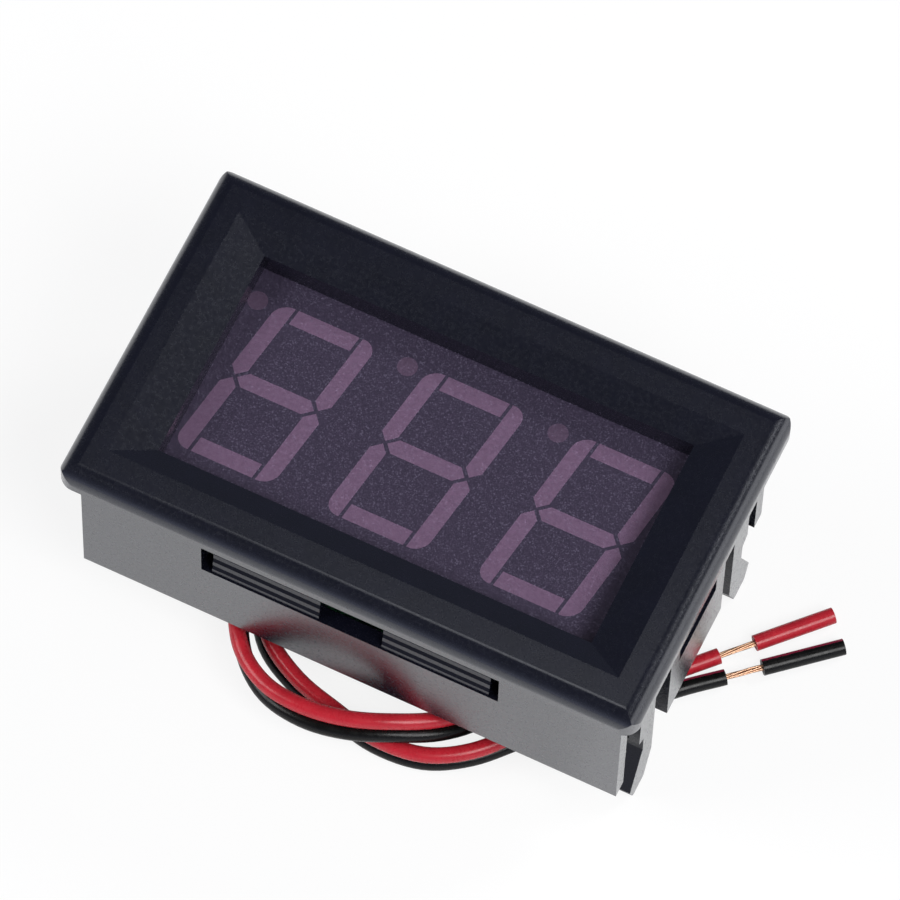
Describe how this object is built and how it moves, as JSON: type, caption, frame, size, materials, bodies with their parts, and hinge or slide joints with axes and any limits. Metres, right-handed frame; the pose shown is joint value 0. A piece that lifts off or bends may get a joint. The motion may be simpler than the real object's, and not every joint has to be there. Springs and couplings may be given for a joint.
{
  "type": "digital panel meter",
  "caption": "Snap-in digital panel meter: rectangular bezel, seven-segment display, hooked housing arms and a red and black lead pair.",
  "frame": {"origin": "centre of the bezel's rear face, the plane that seats on the panel, in the middle of the cut-out", "axes": "+Z out of the display's front face, +Y up as the display is read, +X to the reader's right"},
  "size_m": [0.057, 0.032, 0.023],
  "materials": {
    "black_abs": "satin moulded",
    "tinted_film": "smoke tinted, frosted",
    "display_face": "matt",
    "segment_epoxy": "milky",
    "potting_epoxy": "milky",
    "display_base": "matt",
    "tinned_metal": "bright tinned",
    "green_board": "solder resist",
    "black_case": "moulded epoxy",
    "yellow_case": "moulded epoxy",
    "tan_ceramic": "sintered",
    "white_case": "ceramic",
    "rotor_brass": "plain",
    "solder": "bright",
    "red_insulation": "semi-gloss",
    "black_insulation": "semi-gloss",
    "copper_strand": "bare copper"
  },
  "bodies": {
    "meter": {"housing": "black_abs", "display_film": "tinted_film", "display_shell": "display_face", "digit_left": "segment_epoxy", "digit_middle": "segment_epoxy", "digit_right": "segment_epoxy", "decimal_points": "segment_epoxy", "display_potting": "potting_epoxy", "display_base": "display_base", "display_pins": "tinned_metal", "circuit_board": "green_board", "microcontroller": "black_case", "microcontroller_legs": "tinned_metal", "voltage_regulator": "black_case", "regulator_tabs": "tinned_metal", "protection_diode": "black_case", "diode_tabs": "tinned_metal", "tantalum_capacitor": "yellow_case", "digit_transistors": "black_case", "transistor_legs": "tinned_metal", "chip_capacitors": "tan_ceramic", "chip_resistors": "black_case", "chip_end_caps": "tinned_metal", "trimmer_base": "white_case", "solder_joints": "solder", "red_lead": "red_insulation", "black_lead": "black_insulation", "red_core": "copper_strand", "black_core": "copper_strand", "red_end_sleeve": "red_insulation", "black_end_sleeve": "black_insulation"},
    "rotor": {"trimmer_rotor": "rotor_brass"}
  },
  "joints": [
    {"name": "trimmer_turn", "type": "hinge", "parent": "meter", "child": "rotor", "pos_m": [-0.0155, 0.005, -0.0118], "axis": [0, 0, 1], "range_deg": [-130, 130]}
  ]
}
